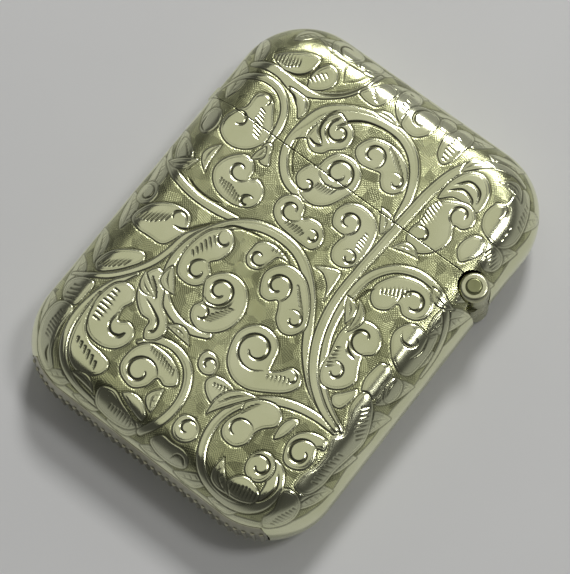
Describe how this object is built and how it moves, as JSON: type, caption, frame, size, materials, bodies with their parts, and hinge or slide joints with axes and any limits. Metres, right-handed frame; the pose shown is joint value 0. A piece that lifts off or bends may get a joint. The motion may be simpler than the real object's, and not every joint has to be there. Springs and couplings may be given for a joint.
{
  "type": "pocket match safe",
  "caption": "Flat pillow-shaped silver pocket case with an engraved scroll surface, a side-hinged snap lid and a ribbed striker end.",
  "frame": {"origin": "middle of the flat back face, which the case lies on", "axes": "+Z out of the engraved front, +Y along the case towards the lid, +X towards the hinge"},
  "size_m": [0.0374, 0.049, 0.0092],
  "materials": {
    "engraved_silver": "polished",
    "plain_silver": "polished",
    "gilt_silver": "satin",
    "pin_metal": "satin",
    "spring_metal": "satin"
  },
  "bodies": {
    "body": {"body_front_shell": "engraved_silver", "body_back_shell": "engraved_silver", "striker_plate": "plain_silver", "mouth_rim": "gilt_silver", "body_knuckle_front": "plain_silver", "body_knuckle_back": "plain_silver", "pin_plug_front": "plain_silver", "pin_plug_back": "plain_silver", "hinge_pin": "pin_metal", "leaf_spring": "spring_metal", "spring_rivet": "plain_silver"},
    "lid": {"lid_front_shell": "engraved_silver", "lid_back_shell": "engraved_silver", "lid_knuckle": "plain_silver", "thumb_catch": "plain_silver"}
  },
  "joints": [
    {"name": "lid_hinge", "type": "hinge", "parent": "body", "child": "lid", "pos_m": [0.0168, 0.01006, 0.0046], "axis": [0, 0, -1], "range_deg": [0, 90]}
  ]
}
